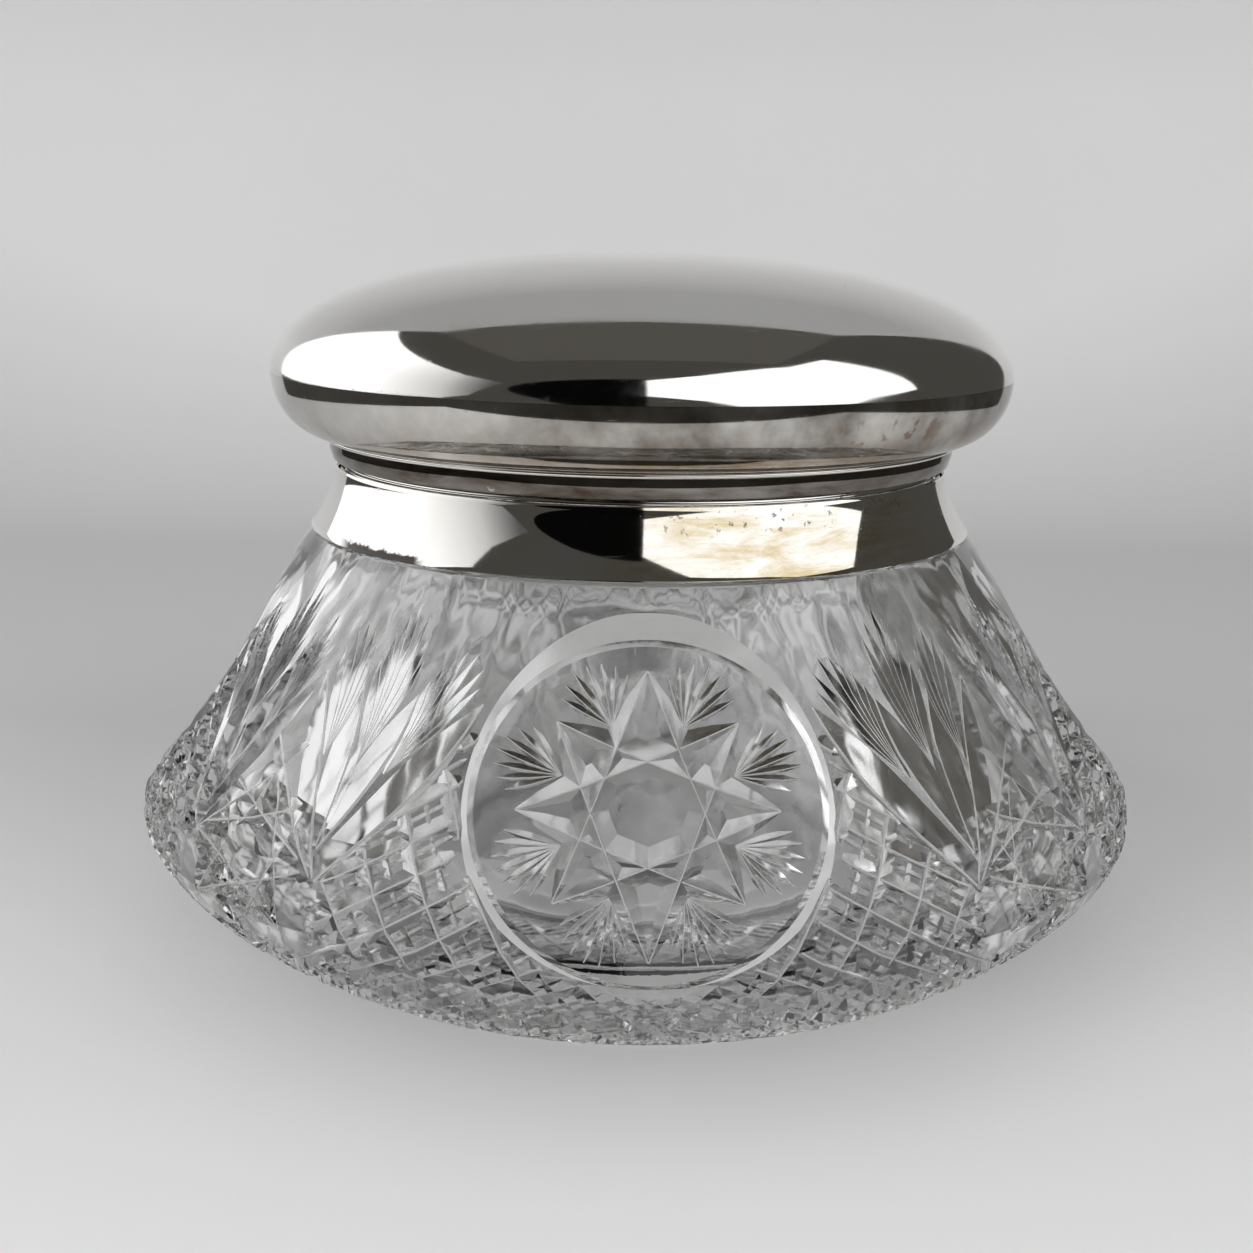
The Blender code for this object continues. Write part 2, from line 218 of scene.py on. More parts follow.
def medallion_axes():
    outward = Vector((0.0, -math.cos(MEDALLION_TILT), math.sin(MEDALLION_TILT)))
    across = Vector((1.0, 0.0, 0.0))
    upward = outward.cross(across)
    centre = Vector((0.0, -MEDALLION_REACH, MEDALLION_HEIGHT))
    return centre, across, upward, outward


def disc_point(across_mm, up_mm):
    centre, across, upward, outward = medallion_axes()
    return centre + across * across_mm * 0.001 + upward * up_mm * 0.001, outward


# ---------------- cuts of the grinding wheel
def groove(place, path, depths, half_angle=46.0, floor=0.0):
    """Closed V-shaped blade along a path; depths in millimetres below the surface at each path point.

    With a floor width, the bottom of the V is a narrow flat that the polishing missed.
    """
    spots = [place(*spot) for spot in path]
    shape = bmesh.new()
    rings = []
    spread = math.tan(math.radians(half_angle))
    for index, (point, normal) in enumerate(spots):
        ahead = spots[min(index + 1, len(spots) - 1)][0]
        behind = spots[max(index - 1, 0)][0]
        side = normal.cross(ahead - behind).normalized()
        depth = depths[index] * 0.001
        raise_by = PROUD * 0.001
        half = (depth + raise_by) * spread
        top = point + normal * raise_by
        bottom = point - normal * depth
        if floor > 0.0:
            step = side * floor * 0.0005
            low = [shape.verts.new(bottom - step), shape.verts.new(bottom + step)]
        else:
            low = [shape.verts.new(bottom)]
        rings.append(low + [shape.verts.new(top + side * half), shape.verts.new(top - side * half)])
    count = len(rings[0])
    for near, far in zip(rings, rings[1:]):
        for first in range(count):
            second = (first + 1) % count
            corner, opposite = near[first], far[second]
            finish = UNPOLISHED if count == 4 and first == 0 else CUT
            for corners in ((corner, near[second], opposite), (corner, opposite, far[first])):
                shape.faces.new(corners).material_index = finish
    for ring in (rings[0], rings[-1]):
        shape.faces.new(ring).material_index = CUT
    bmesh.ops.recalc_face_normals(shape, faces=shape.faces)
    return shape


def along(start, end, shares):
    across, rise = end[0] - start[0], end[1] - start[1]
    return [(start[0] + across * share, start[1] + rise * share) for share in shares]


def leaf(place, start, end, depth, peak=0.5, heel=0.0, half_angle=46.0, rows=7, floor=0.0):
    """Leaf-shaped cut: a heel depth at the start, the full depth at the peak, nothing at the tip."""
    shares = [index / (rows - 1) for index in range(rows)]
    depths = []
    for share in shares:
        if share < peak:
            rise = math.sin(math.pi / 2.0 * share / peak)
            depths.append(depth * (heel + (1.0 - heel) * rise))
        else:
            fall = (share - peak) / (1.0 - peak)
            depths.append(depth * (1.0 - fall ** 1.7))
    depths[-1] = TIP_LIFT
    return groove(place, along(start, end, shares), depths, half_angle, floor=floor)


def feather_fan(place, origin, tips, depth):
    return [leaf(place, origin, tip, depth, 0.62, 0.15, 40.0, 5, FINE_LINE) for tip in tips]


def mirrored(shape, plane_degrees):
    """The same blade on the other side of an upright plane through the axis."""
    angle = math.radians(plane_degrees)
    across = Vector((math.cos(angle), math.sin(angle), 0.0))
    copy = shape.copy()
    for vert in copy.verts:
        vert.co = vert.co - across * 2.0 * vert.co.dot(across)
    bmesh.ops.reverse_faces(copy, faces=copy.faces)
    return copy


def turn_range(shape):
    turns = [math.degrees(math.atan2(vert.co.x, -vert.co.y)) for vert in shape.verts]
    return min(turns), max(turns)


# ---------------- the cut pattern
def star_cuts():
    """Eight-pointed star of the medallion: mitres from each tip to the third tip round, and eight fans."""
    cuts = []
    reach = [17.2, 15.2, 15.5, 15.6, 17.8, 15.6, 15.5, 15.2]
    tips = []
    for point in range(8):
        angle = math.radians(90.0 - 45.0 * point)
        tips.append((reach[point] * math.cos(angle), reach[point] * math.sin(angle)))
    shares = [0.0, 0.12, 0.26, 0.40, 0.5, 0.60, 0.74, 0.88, 1.0]
    for point in range(8):
        start, end = tips[point], tips[(point + 3) % 8]
        depths = [1.75 * (1.0 - abs(2.0 * share - 1.0) ** 2.4) for share in shares]
        depths[0] = depths[-1] = TIP_LIFT
        cuts.append(groove(disc_point, along(start, end, shares), depths, 48.0, floor=STAR_LINE))
    for fan in range(8):
        facing = 67.5 - 45.0 * fan
        base = (10.9 * math.cos(math.radians(facing)), 10.9 * math.sin(math.radians(facing)))
        rays = []
        for ray in range(7):
            swing = (ray - 3) * 12.6
            angle = math.radians(facing + swing)
            length = 8.3 - 0.16 * abs(ray - 3) ** 2
            rays.append((base[0] + length * math.cos(angle), base[1] + length * math.sin(angle)))
        cuts += feather_fan(disc_point, base, rays, 0.62)
    return cuts


def wing_cuts():
    """Long leaves and feather fans that rise between two medallions."""
    leaves = (
        (LEAF_FOOT, LEAF_TIP, 2.3, 0.60, 0.55, 8, LINE),
        ((35.2, 43.6), (28.9, 64.4), 1.8, 0.60, 0.5, 7, LINE),
        ((35.3, 43.8), (37.7, 64.6), 1.7, 0.60, 0.5, 7, LINE),
        (LEAF_FOOT, (45.0, 65.0), 1.5, 0.60, 0.7, 8, LINE),
        ((35.2, 43.8), (34.2, 57.5), 1.1, 0.45, 0.6, 5, 0.0),
    )
    cuts = []
    for start, end, depth, peak, heel, rows, floor in leaves:
        cuts.append(leaf(wall_point, start, end, depth, peak, heel, rows=rows, floor=floor))
    first = [(21.0, 66.2), (21.1, 68.6), (22.3, 70.6), (24.0, 70.6)]
    first += [(25.4, 69.6), (26.8, 68.2), (28.0, 66.4)]
    second = [(30.0, 68.6), (30.3, 72.2), (31.6, 74.6), (33.7, 76.4)]
    second += [(35.0, 74.4), (36.0, 71.6), (36.8, 68.2)]
    third = [(37.9, 67.0), (38.5, 69.6), (39.8, 71.4), (41.6, 72.4), (42.9, 71.0), (43.9, 68.6)]
    cuts += feather_fan(wall_point, (29.9, 54.0), first, 0.78)
    cuts += feather_fan(wall_point, (34.0, 55.0), second, 0.80)
    cuts += feather_fan(wall_point, (38.9, 54.6), third, 0.78)
    return cuts


def lozenge_cuts():
    """Small hobstar where the long leaves meet, half-way between two medallions."""
    cuts = [leaf(wall_point, (34.9, 39.8), (49.6, 57.4), 1.15, peak=0.45, heel=0.8, rows=7, floor=LINE)]
    reaches = [(0.0, 10.8), (7.0, 7.8), (10.1, 0.0), (7.0, -8.0)]
    reaches += [(0.0, -11.6), (-7.0, -8.0), (-10.1, 0.0), (-7.0, 7.8)]
    tips = [(45.0 + turn, 40.8 + rise) for turn, rise in reaches]
    shares = [0.0, 0.2, 0.5, 0.8, 1.0]
    for point in range(8):
        start, end = tips[point], tips[(point + 3) % 8]
        depths = [1.45 * (1.0 - abs(2.0 * share - 1.0) ** 2.6) + 0.15 for share in shares]
        cuts.append(groove(wall_point, along(start, end, shares), depths, 46.0, floor=LINE))
    return cuts


def leaf_line(turn):
    """Length up the wall of the long leaf beside the medallion, at a turn from the front."""
    slope = (LEAF_TIP[1] - LEAF_FOOT[1]) / (LEAF_FOOT[0] - LEAF_TIP[0])
    return LEAF_TIP[1] - (turn - LEAF_TIP[0]) * slope


def in_diamonds(spot):
    """Whether a spot lies in the strawberry diamonds: below the leaves, clear of the medallion."""
    turn, length = spot
    turn = abs(turn)
    if turn > 45.0:
        turn = 90.0 - turn
    if length < 7.0:
        return False
    centre, across, upward = medallion_axes()[:3]
    offset = wall_point(turn, length)[0] - centre
    if math.hypot(offset.dot(across), offset.dot(upward)) < MEDALLION_RADIUS + 0.0009:
        return False
    if turn < 19.0 and length > 44.0:
        return False
    if turn < LEAF_FOOT[0]:
        return length < leaf_line(turn) - 2.2
    return length < 30.0


def clipped(start, end):
    """The stretches of a line of cuts that lie in the diamonds."""
    rows = 86
    runs = [[]]
    for spot in along(start, end, [index / (rows - 1) for index in range(rows)]):
        if in_diamonds(spot):
            runs[-1].append(spot)
        elif runs[-1]:
            runs.append([])
    return [run for run in runs if len(run) > 2]


def diamond_family(slope, spacing, offset, depth, floor=0.0):
    """Parallel cuts across the lower wall; slope in millimetres up the wall per degree round."""
    cuts = []
    for index in range(-30, 40):
        start_length = offset + index * spacing
        start = (-3.0, start_length - 3.0 * slope)
        end = (48.0, start_length + 48.0 * slope)
        for run in clipped(start, end):
            path = run[::max(1, len(run) // 9)]
            if path[-1] != run[-1]:
                path.append(run[-1])
            depths = [depth] * len(path)
            depths[0] = depths[-1] = depth * 0.35
            cuts.append(groove(wall_point, path, depths, DIAMOND_ANGLE, floor=floor))
    return cuts


def diamond_cuts():
    """Deep cuts in two directions, and a fine one half-way between each two of them."""
    cuts = diamond_family(-0.80, 4.9, 66.3, 0.95, LINE)
    cuts += diamond_family(2.25, 12.9, -8.4, 0.95, LINE)
    cuts += diamond_family(-0.80, 4.9, 68.75, 0.32)
    cuts += diamond_family(2.25, 12.9, -1.95, 0.32)
    return cuts


def drum_cut():
    """Flat round recess of a medallion, with a fine step and a ground, flared wall."""
    centre, across, upward, outward = medallion_axes()
    rows = [(20.2, 0.0), (20.6, 0.25), (20.9, 0.45), (23.2, 3.4), (29.9, 12.0)]
    shape = bmesh.new()
    rings = []
    count = 192
    for radius, rise in rows:
        ring = []
        for index in range(count):
            angle = math.tau * (index + 0.5) / count
            spot = centre + across * radius * 0.001 * math.cos(angle)
            spot = spot + upward * radius * 0.001 * math.sin(angle)
            ring.append(shape.verts.new(spot + outward * rise * 0.001))
        rings.append(ring)
    for low, high in zip(rings, rings[1:]):
        for face in join_rings(shape, low, high):
            face.material_index = GROUND if low is rings[2] else CUT
    for ring in (rings[0], rings[-1]):
        shape.faces.new(ring).material_index = CUT
    bmesh.ops.recalc_face_normals(shape, faces=shape.faces)
    return shape


# ---------------- building the bowl from one eighth
def hollow_curve():
    slope = math.tan(CONE_ANGLE)
    offset = WALL / math.cos(CONE_ANGLE)
    top = SHOULDER_HEIGHT - (MOUTH_RADIUS + offset - cone_radius(SHOULDER_HEIGHT)) / slope
    start = top - 0.0030
    bend = HOLLOW_BELLY_HEIGHT + 0.0100
    points = [(MOUTH_RADIUS, top + 0.0030), (MOUTH_RADIUS + 0.0002, top + 0.0012)]
    points.append((MOUTH_RADIUS + 0.0009, top - 0.0006))
    for index in range(5):
        height = start + (bend - start) * index / 4
        points.append((cone_radius(height) - offset, height))
    points.append((cone_radius(bend - 0.002) - offset - 0.0002, bend - 0.002))
    points.append((HOLLOW_BELLY_RADIUS - 0.0011, HOLLOW_BELLY_HEIGHT + 0.0055))
    points.append((HOLLOW_BELLY_RADIUS - 0.0003, HOLLOW_BELLY_HEIGHT + 0.0028))
    steps = 14
    for index in range(steps + 1):
        angle = math.pi / 2.0 * index / steps
        radius = FLOOR_RADIUS + (HOLLOW_BELLY_RADIUS - FLOOR_RADIUS) * math.cos(angle)
        points.append((radius, HOLLOW_BELLY_HEIGHT - (HOLLOW_BELLY_HEIGHT - FLOOR_HEIGHT) * math.sin(angle)))
    points.append((FLOOR_RADIUS * 0.75, FLOOR_HEIGHT - 0.0002))
    points.append((FLOOR_RADIUS * 0.4, FLOOR_HEIGHT - 0.0004))
    return points


def section_profile():
    """Section of the bowl's wall, from the floor's centre round to the underside's centre.

    Also gives how many of its spans belong to the inner side.
    """
    shoulder = cone_radius(SHOULDER_HEIGHT)
    inner = hollow_curve()[::-1]
    neck = [
        (MOUTH_RADIUS, NECK_TOP - 0.0008), (MOUTH_RADIUS + 0.0003, NECK_TOP - 0.0002),
        (MOUTH_RADIUS + 0.0009, NECK_TOP), (NECK_RADIUS - 0.0009, NECK_TOP),
        (NECK_RADIUS - 0.0003, NECK_TOP - 0.0002), (NECK_RADIUS, NECK_TOP - 0.0008),
        (NECK_RADIUS, SHOULDER_HEIGHT + 0.0004), (NECK_RADIUS + 0.0002, SHOULDER_HEIGHT + 0.0002),
        (shoulder - 0.0005, SHOULDER_HEIGHT + 0.0002), (shoulder - 0.0001, SHOULDER_HEIGHT + 0.0001),
    ]
    rows = (SHOULDER_HEIGHT - 0.0001, 0.0540, 0.0480, 0.0420, 0.0360)
    cone_rows = [(cone_radius(height), height) for height in rows]
    foot = [
        (FOOT_HOLLOW_RADIUS, 0.0),
        (FOOT_HOLLOW_RADIUS - 0.0005, 0.0002),
        (FOOT_HOLLOW_RADIUS - 0.0020, FOOT_HOLLOW_DEPTH),
        (0.0, FOOT_HOLLOW_DEPTH),
    ]
    start = [(0.0, FLOOR_HEIGHT - 0.0005)]
    return start + inner + neck + cone_rows + belly_curve(9) + undercut_curve(14) + foot, len(inner)


def wedge_shape():
    """One eighth of the uncut bowl, closed by its two flat sides."""
    profile, inner_spans = section_profile()
    shape = bmesh.new()
    rings = []
    for step in range(SECTOR_STEPS + 1):
        angle = SECTOR * step / SECTOR_STEPS
        ring = []
        for index, (radius, height) in enumerate(profile):
            if radius < 1e-9 and step > 0:
                ring.append(rings[0][index])
            else:
                ring.append(shape.verts.new((radius * math.sin(angle), -radius * math.cos(angle), height)))
        rings.append(ring)
    for near, far in zip(rings, rings[1:]):
        for index in range(len(profile) - 1):
            corners = [near[index], near[index + 1], far[index + 1], far[index]]
            unique = list(dict.fromkeys(corners))
            if len(unique) > 2:
                face = shape.faces.new(unique)
                face.material_index = INSIDE if index < inner_spans else OUTSIDE
                if max(vert.co.z for vert in unique) < FOOT_HOLLOW_DEPTH:
                    face.material_index = GROUND
    shape.faces.new(rings[0])
    shape.faces.new(rings[-1])
    bmesh.ops.recalc_face_normals(shape, faces=shape.faces)
    return shape


def subtract(thing, shape):
    """Grinds one blade out of a closed mesh; a cut that would leave nothing is not kept."""
    mesh = shape_mesh("blade", shape)
    for material in thing.data.materials:
        mesh.materials.append(material)
    blade = new_object("blade", mesh)
    modifier = thing.modifiers.new("cut", "BOOLEAN")
    modifier.operation = "DIFFERENCE"
    modifier.solver = "MANIFOLD"
    modifier.object = blade
    graph = bpy.context.evaluated_depsgraph_get()
    result = bpy.data.meshes.new_from_object(thing.evaluated_get(graph))
    thing.modifiers.clear()
    old = thing.data
    if len(result.polygons) > 10:
        thing.data = result
        bpy.data.meshes.remove(old)
    bpy.data.objects.remove(blade, do_unlink=True)
    bpy.data.meshes.remove(mesh)


def pattern():
    """Every blade; its faces carry the finish that they leave."""
    return [drum_cut()] + star_cuts() + wing_cuts() + lozenge_cuts() + diamond_cuts()


def reaches_sector(shape):
    low, high = turn_range(shape)
    return high - low > 180.0 or (high > -0.3 and low < 45.3)


def cut_wedge(materials):
    """The eighth with every cut that reaches it, those from beyond its two sides among them."""
    mesh = shape_mesh("bowl_eighth", wedge_shape())
    for material in materials:
        mesh.materials.append(material)
    wedge = new_object("bowl_eighth", mesh)
    for shape in pattern():
        low, high = turn_range(shape)
        copies = [shape]
        one_sided = high - low < 170.0
        if one_sided and low < 6.0 and abs(low + high) > SAME_TURN:
            copies.append(mirrored(shape, 0.0))
        if one_sided and high > 39.0 and abs(low + high - 90.0) > SAME_TURN:
            copies.append(mirrored(shape, 45.0))
        for copy in copies:
            if reaches_sector(copy):
                subtract(wedge, copy)
            else:
                copy.free()
    return wedge


def open_sides(shape):
    """Takes the two flat sides off the eighth and brings its edge points exactly onto the side planes."""
    across = Vector((math.cos(SECTOR), math.sin(SECTOR), 0.0))
    for vert in shape.verts:
        if abs(vert.co.x) < ON_PLANE:
            vert.co.x = 0.0
        gap = vert.co.dot(across)
        if abs(gap) < ON_PLANE:
            vert.co = vert.co - across * gap
    sides = []
    for face in shape.faces:
        on_first = all(abs(vert.co.x) < 0.1 * ON_PLANE for vert in face.verts)
        on_second = all(abs(vert.co.dot(across)) < 0.1 * ON_PLANE for vert in face.verts)
        if on_first or on_second:
            sides.append(face)
    bmesh.ops.delete(shape, geom=sides, context="FACES_ONLY")
    loose = [edge for edge in shape.edges if not edge.link_faces]
    bmesh.ops.delete(shape, geom=loose, context="EDGES")
    bmesh.ops.delete(shape, geom=[vert for vert in shape.verts if not vert.link_edges], context="VERTS")


def whole_bowl(wedge):
    """The bowl, from the cut eighth, its mirror image and four quarter turns."""
    eighth = bmesh.new()
    eighth.from_mesh(wedge.data)
    bmesh.ops.triangulate(eighth, faces=eighth.faces)
    open_sides(eighth)
    half = shape_mesh("bowl_half", eighth)
    full = bmesh.new()
    for quarter in range(4):
        turn = Matrix.Rotation(math.radians(90.0 * quarter), 4, "Z")
        for flip in (False, True):
            part = bmesh.new()
            part.from_mesh(half)
            if flip:
                bmesh.ops.transform(part, matrix=Matrix.Scale(-1.0, 4, (1.0, 0.0, 0.0)), verts=part.verts)
                bmesh.ops.reverse_faces(part, faces=part.faces)
            bmesh.ops.transform(part, matrix=turn, verts=part.verts)
            piece = shape_mesh("part", part)
            full.from_mesh(piece)
            bpy.data.meshes.remove(piece)
    bmesh.ops.remove_doubles(full, verts=full.verts, dist=WELD)
    bmesh.ops.dissolve_degenerate(full, edges=full.edges, dist=WELD)
    for face in full.faces:
        face.smooth = True
    mesh = shape_mesh("cut_glass_bowl", full)
    bpy.data.meshes.remove(half)
    for material in wedge.data.materials:
        mesh.materials.append(material)
    mesh.set_sharp_from_angle(angle=math.radians(12.0))
    old = wedge.data
    bpy.data.objects.remove(wedge, do_unlink=True)
    bpy.data.meshes.remove(old)
    return new_object("cut_glass_bowl", mesh)


def ripple_inside(mesh):
    """Gentle upright ripples that blowing left on the inner side."""
    inner = set()
    other = set()
    for face in mesh.polygons:
        (inner if face.material_index == INSIDE else other).update(face.vertices)
    for index in inner - other:
        spot = mesh.vertices[index].co
        radius = math.hypot(spot.x, spot.y)
        if radius < 0.5 * FLOOR_RADIUS:
            continue
        around = Vector((14.0 * spot.x / radius, 14.0 * spot.y / radius, 26.0 * spot.z))
        swell = 1.0 + 0.00007 / radius * noise.noise(around)
        spot.x *= swell
        spot.y *= swell


# ---------------- turned silver
def turned(name, profile, material, steps=288, closed=True, sharp=32.0):
    """Closed ring or dome turned around the jar's axis from (radius, height) points."""
    shape = bmesh.new()
    rings = []
    for radius, height in profile:
        if radius < 1e-9:
            rings.append([shape.verts.new((0.0, 0.0, height))] * steps)
            continue
        ring = []
        for index in range(steps):
            angle = math.tau * index / steps
            ring.append(shape.verts.new((radius * math.cos(angle), radius * math.sin(angle), height)))
        rings.append(ring)
    pairs = list(zip(rings, rings[1:]))
    if closed:
        pairs.append((rings[-1], rings[0]))
    for near, far in pairs:
        join_rings(shape, near, far)
    bmesh.ops.recalc_face_normals(shape, faces=shape.faces)
    mesh = shape_mesh(name, shape)
    mesh.materials.append(material)
    mesh.shade_smooth()
    mesh.set_sharp_from_angle(angle=math.radians(sharp))
    return new_object(name, mesh)


def rounded(points, radius, steps=3):
    """A closed outline with each corner replaced by a small curve."""
    result = []
    count = len(points)
    for index in range(count):
        before = Vector(points[index - 1])
        corner = Vector(points[index])
        after = Vector(points[(index + 1) % count])
        reach_before = min(radius, (before - corner).length * 0.45)
        reach_after = min(radius, (after - corner).length * 0.45)
        start = corner + (before - corner).normalized() * reach_before
        end = corner + (after - corner).normalized() * reach_after
        for step in range(steps + 1):
            share = step / steps
            spot = start.lerp(corner, share).lerp(corner.lerp(end, share), share)
            result.append((spot.x, spot.y))
    return result


def collar_radius(height):
    share = (height - COLLAR_BOTTOM) / (COLLAR_TOP - COLLAR_BOTTOM)
    spread = COLLAR_FOOT_RADIUS - COLLAR_NECK_RADIUS
    return COLLAR_NECK_RADIUS + spread * (1.0 - share) ** COLLAR_FLARE_POWER


def dome_point(angle):
    across = math.sin(angle) ** (2.0 / DOME_POWER)
    rise = math.cos(angle) ** (2.0 / DOME_POWER)
    return LID_RADIUS * across, LID_EQUATOR + (LID_TOP - LID_EQUATOR) * rise


def underside_point(angle):
    spread = LID_RADIUS - BAND_RADIUS
    drop = LID_EQUATOR - UNDERSIDE_BOTTOM
    return BAND_RADIUS + spread * math.cos(angle), LID_EQUATOR - drop * math.sin(angle)


def build_collar(material):
    """Hollow-curved collar with a small beaded foot and a turned-over top edge."""
    count = 28
    height_span = COLLAR_TOP - COLLAR_BOTTOM
    outer = []
    inner = []
    for index in range(count + 1):
        height = COLLAR_TOP - 0.0002 - (height_span - 0.0006) * index / count
        radius = collar_radius(height)
        outer.append((radius, height))
        inner.append((radius - SHEET, height))
    foot = COLLAR_FOOT_RADIUS
    lip = [(foot + 0.00001, COLLAR_BOTTOM + 0.00015), (foot - 0.0002, COLLAR_BOTTOM)]
    lip += [(foot - 0.0006, COLLAR_BOTTOM), (foot - 0.0008, COLLAR_BOTTOM + 0.0002)]
    top = [(COLLAR_NECK_RADIUS - SHEET + 0.0001, COLLAR_TOP), (COLLAR_NECK_RADIUS - 0.0001, COLLAR_TOP)]
    return turned("silver_collar_sheet", outer + lip + inner[::-1] + top, material)


def build_seat(material):
    lip_inner = SEAT_LIP_RADIUS - 0.0006
    outline = [
        (lip_inner, SEAT_TOP), (SEAT_OUTER_RADIUS, SEAT_TOP),
        (SEAT_OUTER_RADIUS, SEAT_TOP - SHEET), (SEAT_LIP_RADIUS, SEAT_TOP - SHEET),
        (SEAT_LIP_RADIUS, SEAT_LIP_BOTTOM), (lip_inner, SEAT_LIP_BOTTOM),
    ]
    return turned("silver_seat_ring", rounded(outline, 0.00025), material)


def build_dome(material):
    """Raised upper shell of the lid, rolled under at its edge."""
    outer = [dome_point(math.pi / 2.0 * index / 56) for index in range(57)]
    inner = []
    for index in range(25):
        angle = math.pi / 2.0 * index / 24
        radius, height = dome_point(angle)
        inner.append((max(radius - LID_SHEET * math.sin(angle), 0.0), height - LID_SHEET * math.cos(angle)))
    inner[0] = (0.0, LID_TOP - LID_SHEET)
    inner[-1] = (LID_RADIUS - LID_SHEET, LID_EQUATOR)
    return turned("silver_lid_dome", outer + inner[::-1], material, closed=False)


def build_underside(material):
    outer = [underside_point(math.pi / 2.0 * index / 32) for index in range(33)]
    outer[0] = (LID_RADIUS, LID_EQUATOR - 0.00002)
    edge = UNDERSIDE_INNER_RADIUS
    floor = [(edge, UNDERSIDE_BOTTOM), (edge, UNDERSIDE_BOTTOM + LID_SHEET)]
    inner = []
    for index in range(16, -1, -1):
        angle = math.pi / 2.0 * index / 16
        radius, height = underside_point(angle)
        inner.append((radius - LID_SHEET * math.cos(angle), height + LID_SHEET * math.sin(angle)))
    inner[-1] = (LID_RADIUS - LID_SHEET, LID_EQUATOR - 0.00002)
    return turned("silver_lid_underside", outer + floor + inner, material)


def build_band(material):
    top = UNDERSIDE_BOTTOM - 0.0001
    outline = [
        (BAND_RADIUS, top), (BAND_RADIUS, BAND_BOTTOM + 0.0016),
        (BAND_BOTTOM_RADIUS, BAND_BOTTOM), (BAND_BOTTOM_RADIUS - 0.0006, BAND_BOTTOM),
        (BAND_RADIUS - 0.0008, BAND_BOTTOM + 0.0016), (BAND_RADIUS - 0.0008, top),
    ]
    return turned("silver_lid_band", rounded(outline, 0.0003), material)


def build_fillet(material):
    """Run of solder in the angle between the underside and the band."""
    centre_radius = BAND_RADIUS + FILLET_WIRE
    centre_height = UNDERSIDE_BOTTOM - FILLET_WIRE
    outline = []
    for index in range(10):
        angle = math.tau * index / 10
        radius = centre_radius + FILLET_WIRE * math.cos(angle)
        outline.append((radius, centre_height + FILLET_WIRE * math.sin(angle)))
    return turned("solder_run", outline, material, sharp=80.0)


def build_bezel(material):
    inner = PLUG_RADIUS - SHEET
    flange_outer = BAND_BOTTOM_RADIUS - 0.0009
    flange_top = PLUG_FLANGE_BOTTOM + SHEET
    outline = [
        (inner, flange_top), (flange_outer, flange_top),
        (flange_outer, PLUG_FLANGE_BOTTOM), (PLUG_RADIUS, PLUG_FLANGE_BOTTOM),
        (PLUG_RADIUS, PLUG_BOTTOM), (inner, PLUG_BOTTOM),
    ]
    return turned("gilt_lid_plug", rounded(outline, 0.00025), material)


# ---------------- materials
class Nodes:
    """Short way to add and join the nodes of one material; a glow has no shader to give to."""

    def __init__(self, name, material=None):
        self.material = material or bpy.data.materials.new(name)
        self.material.use_nodes = True
        self.tree = self.material.node_tree
        self.shader = self.tree.nodes.get("Principled BSDF")
        self.place = self.tree.nodes.new("ShaderNodeTexCoord").outputs["Object"]

    def join(self, source, target):
        self.tree.links.new(source, target)

    def feed(self, socket, value):
        if isinstance(value, bpy.types.NodeSocket):
            self.join(value, socket)
        else:
            socket.default_value = value

    def give(self, name, value):
        self.feed(self.shader.inputs[name], value)

    def stretch(self, scale, turn=(0.0, 0.0, 0.0)):
        node = self.tree.nodes.new("ShaderNodeMapping")
        self.join(self.place, node.inputs["Vector"])
        node.inputs["Scale"].default_value = scale
        node.inputs["Rotation"].default_value = [math.radians(part) for part in turn]
        return node.outputs["Vector"]

    def noise(self, scale, detail=4.0, roughness=0.55, distortion=0.0, vector=None):
        node = self.tree.nodes.new("ShaderNodeTexNoise")
        self.join(vector or self.place, node.inputs["Vector"])
        settings = {"Scale": scale, "Detail": detail, "Roughness": roughness, "Distortion": distortion}
        for name, value in settings.items():
            node.inputs[name].default_value = value
        return node.outputs["Fac"]

    def spots(self, scale):
        node = self.tree.nodes.new("ShaderNodeTexVoronoi")
        self.join(self.place, node.inputs["Vector"])
        node.inputs["Scale"].default_value = scale
        return node.outputs["Distance"]

    def band(self, value, low, high, to_low=0.0, to_high=1.0):
        node = self.tree.nodes.new("ShaderNodeMapRange")
        self.join(value, node.inputs["Value"])
        settings = {"From Min": low, "From Max": high, "To Min": to_low, "To Max": to_high}
        for name, limit in settings.items():
            node.inputs[name].default_value = limit
        return node.outputs["Result"]

    def maths(self, kind, first, second):
        node = self.tree.nodes.new("ShaderNodeMath")
        node.operation = kind
        self.feed(node.inputs[0], first)
        self.feed(node.inputs[1], second)
        return node.outputs[0]

    def times(self, first, *more):
        for value in more:
            first = self.maths("MULTIPLY", first, value)
        return first

    def axis(self, name):
        node = self.tree.nodes.new("ShaderNodeSeparateXYZ")
        self.join(self.place, node.inputs[0])
        return node.outputs[name]

    def blend(self, factor, first, second):
        node = self.tree.nodes.new("ShaderNodeMix")
        node.data_type = "RGBA"
        self.feed(node.inputs["Factor"], factor)
        self.feed(node.inputs["A"], first)
        self.feed(node.inputs["B"], second)
        return node.outputs["Result"]

    def bump(self, height, strength, distance, under=None):
        node = self.tree.nodes.new("ShaderNodeBump")
        self.join(height, node.inputs["Height"])
        node.inputs["Strength"].default_value = strength
        node.inputs["Distance"].default_value = distance
        if under:
            self.join(under, node.inputs["Normal"])
        return node.outputs["Normal"]


def window_of(nodes, value, low, high, soft):
    """1 between low and high, falling to 0 over the soft distance outside."""
    rise = nodes.band(value, low - soft, low)
    return nodes.times(rise, nodes.band(value, high, high + soft, 1.0, 0.0))


